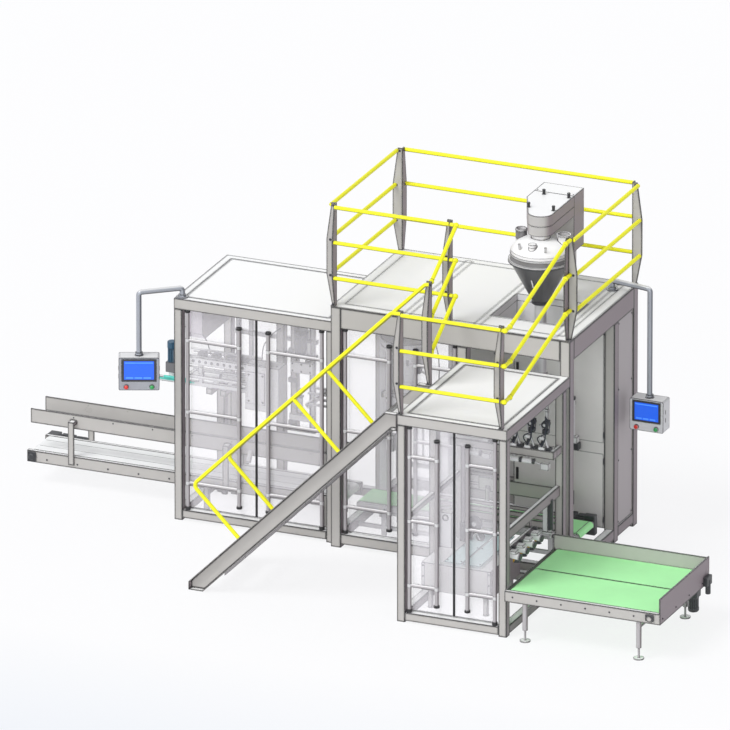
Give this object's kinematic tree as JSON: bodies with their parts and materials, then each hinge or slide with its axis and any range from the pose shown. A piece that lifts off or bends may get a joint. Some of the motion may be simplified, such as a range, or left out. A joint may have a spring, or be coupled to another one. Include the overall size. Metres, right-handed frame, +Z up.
{
  "type": "powder packaging line",
  "caption": "Powder packaging line: framed cages with clear doors, stair, railed deck, hopper with drive, belt conveyors and swivel operator screens.",
  "frame": {"origin": "floor level, at the middle of the line's footprint", "axes": "+X along the line from the discharge conveyor to the bag magazine, +Y away from the door side, +Z up"},
  "size_m": [7.232, 3.287, 3.392],
  "materials": {
    "frame_paint": "satin light grey paint",
    "deck_paint": "satin white paint",
    "rail_yellow": "gloss yellow paint",
    "clear_sheet": "clear safety sheet",
    "hopper_steel": "brushed stainless steel",
    "steel": "brushed stainless steel",
    "white_panel": "satin white sheet metal",
    "belt_green": "pale green conveyor belt",
    "belt_white": "white conveyor belt",
    "plate_cyan": "pale cyan plate",
    "motor_black": "satin black motor paint",
    "black_plastic": "black plastic",
    "screen_housing": "satin grey enclosure"
  },
  "bodies": {
    "line": {"main_posts": "frame_paint", "main_beams": "frame_paint", "base_rails": "frame_paint", "main_deck": "deck_paint", "deck_hatch": "deck_paint", "closing_posts": "frame_paint", "closing_top": "deck_paint", "bag_posts": "frame_paint", "bag_top": "deck_paint", "bag_rails": "frame_paint", "side_glazing": "clear_sheet", "stair_stringers": "frame_paint", "stair_treads": "steel", "stair_handrails": "rail_yellow", "guard_posts": "frame_paint", "guard_rails": "rail_yellow", "rail_elbows": "rail_yellow", "hopper_shell": "hopper_steel", "hopper_dome": "steel", "spout_tube": "steel", "agitator_drive": "steel", "motor_box": "white_panel", "drive_columns": "steel", "control_cabinet": "white_panel", "cabinet_panels": "white_panel", "discharge_frame": "steel", "discharge_belt": "belt_white", "discharge_guides": "steel", "transfer_frame": "steel", "transfer_belt": "belt_green", "magazine_frame": "frame_paint", "magazine_belts": "belt_green", "magazine_legs": "steel", "conveyor_motors": "motor_black", "bag_table": "white_panel", "bag_plates": "plate_cyan", "bag_gantry": "steel", "band_sealer": "white_panel", "sealer_stand": "frame_paint", "feed_box": "steel", "bag_lift": "frame_paint", "filling_column": "steel", "door_bearings": "black_plastic", "screen_sockets": "steel"},
    "closing_door_left": {"closing_door_left_frame": "steel", "closing_door_left_pane": "clear_sheet"},
    "closing_door_right": {"closing_door_right_frame": "steel", "closing_door_right_pane": "clear_sheet"},
    "filling_door_left": {"filling_door_left_frame": "steel", "filling_door_left_pane": "clear_sheet"},
    "filling_door_right": {"filling_door_right_frame": "steel", "filling_door_right_pane": "clear_sheet"},
    "bag_door_left": {"bag_door_left_frame": "steel", "bag_door_left_pane": "clear_sheet"},
    "bag_door_right": {"bag_door_right_frame": "steel", "bag_door_right_pane": "clear_sheet"},
    "screen_right_arm": {"screen_right_arm": "steel"},
    "screen_right_panel": {"screen_right_box": "screen_housing"},
    "screen_left_arm": {"screen_left_arm": "steel"},
    "screen_left_panel": {"screen_left_box": "screen_housing"}
  },
  "joints": [
    {"name": "closing_door_left_hinge", "type": "hinge", "parent": "line", "child": "closing_door_left", "pos_m": [-1.851, 0.0485, 1.097], "axis": [0, 0, -1], "range_deg": [0, 90]},
    {"name": "closing_door_right_hinge", "type": "hinge", "parent": "line", "child": "closing_door_right", "pos_m": [-0.501, 0.0485, 1.097], "axis": [0, 0, 1], "range_deg": [0, 90]},
    {"name": "filling_door_left_hinge", "type": "hinge", "parent": "line", "child": "filling_door_left", "pos_m": [-0.236, -0.0215, 1.151], "axis": [0, 0, -1], "range_deg": [0, 90]},
    {"name": "filling_door_right_hinge", "type": "hinge", "parent": "line", "child": "filling_door_right", "pos_m": [0.864, -0.0215, 1.151], "axis": [0, 0, 1], "range_deg": [0, 90]},
    {"name": "bag_door_left_hinge", "type": "hinge", "parent": "line", "child": "bag_door_left", "pos_m": [1.047, -1.5415, 1.012], "axis": [0, 0, -1], "range_deg": [0, 90]},
    {"name": "bag_door_right_hinge", "type": "hinge", "parent": "line", "child": "bag_door_right", "pos_m": [1.897, -1.5415, 1.012], "axis": [0, 0, 1], "range_deg": [0, 90]},
    {"name": "screen_right_swing", "type": "hinge", "parent": "line", "child": "screen_right_arm", "pos_m": [1.864, 1.3485, 2.41], "axis": [0, 0, 1], "range_deg": [-15, 35]},
    {"name": "screen_right_turn", "type": "hinge", "parent": "screen_right_arm", "child": "screen_right_panel", "pos_m": [2.2743, 1.2687, 1.41], "axis": [0, 0, 1], "range_deg": [-90, 90]},
    {"name": "screen_left_swing", "type": "hinge", "parent": "line", "child": "screen_left_arm", "pos_m": [-1.916, 0.0785, 2.222], "axis": [0, 0, 1], "range_deg": [-60, 10]},
    {"name": "screen_left_turn", "type": "hinge", "parent": "screen_left_arm", "child": "screen_left_panel", "pos_m": [-2.2408, -0.1846, 1.67], "axis": [0, 0, 1], "range_deg": [-90, 90]}
  ]
}
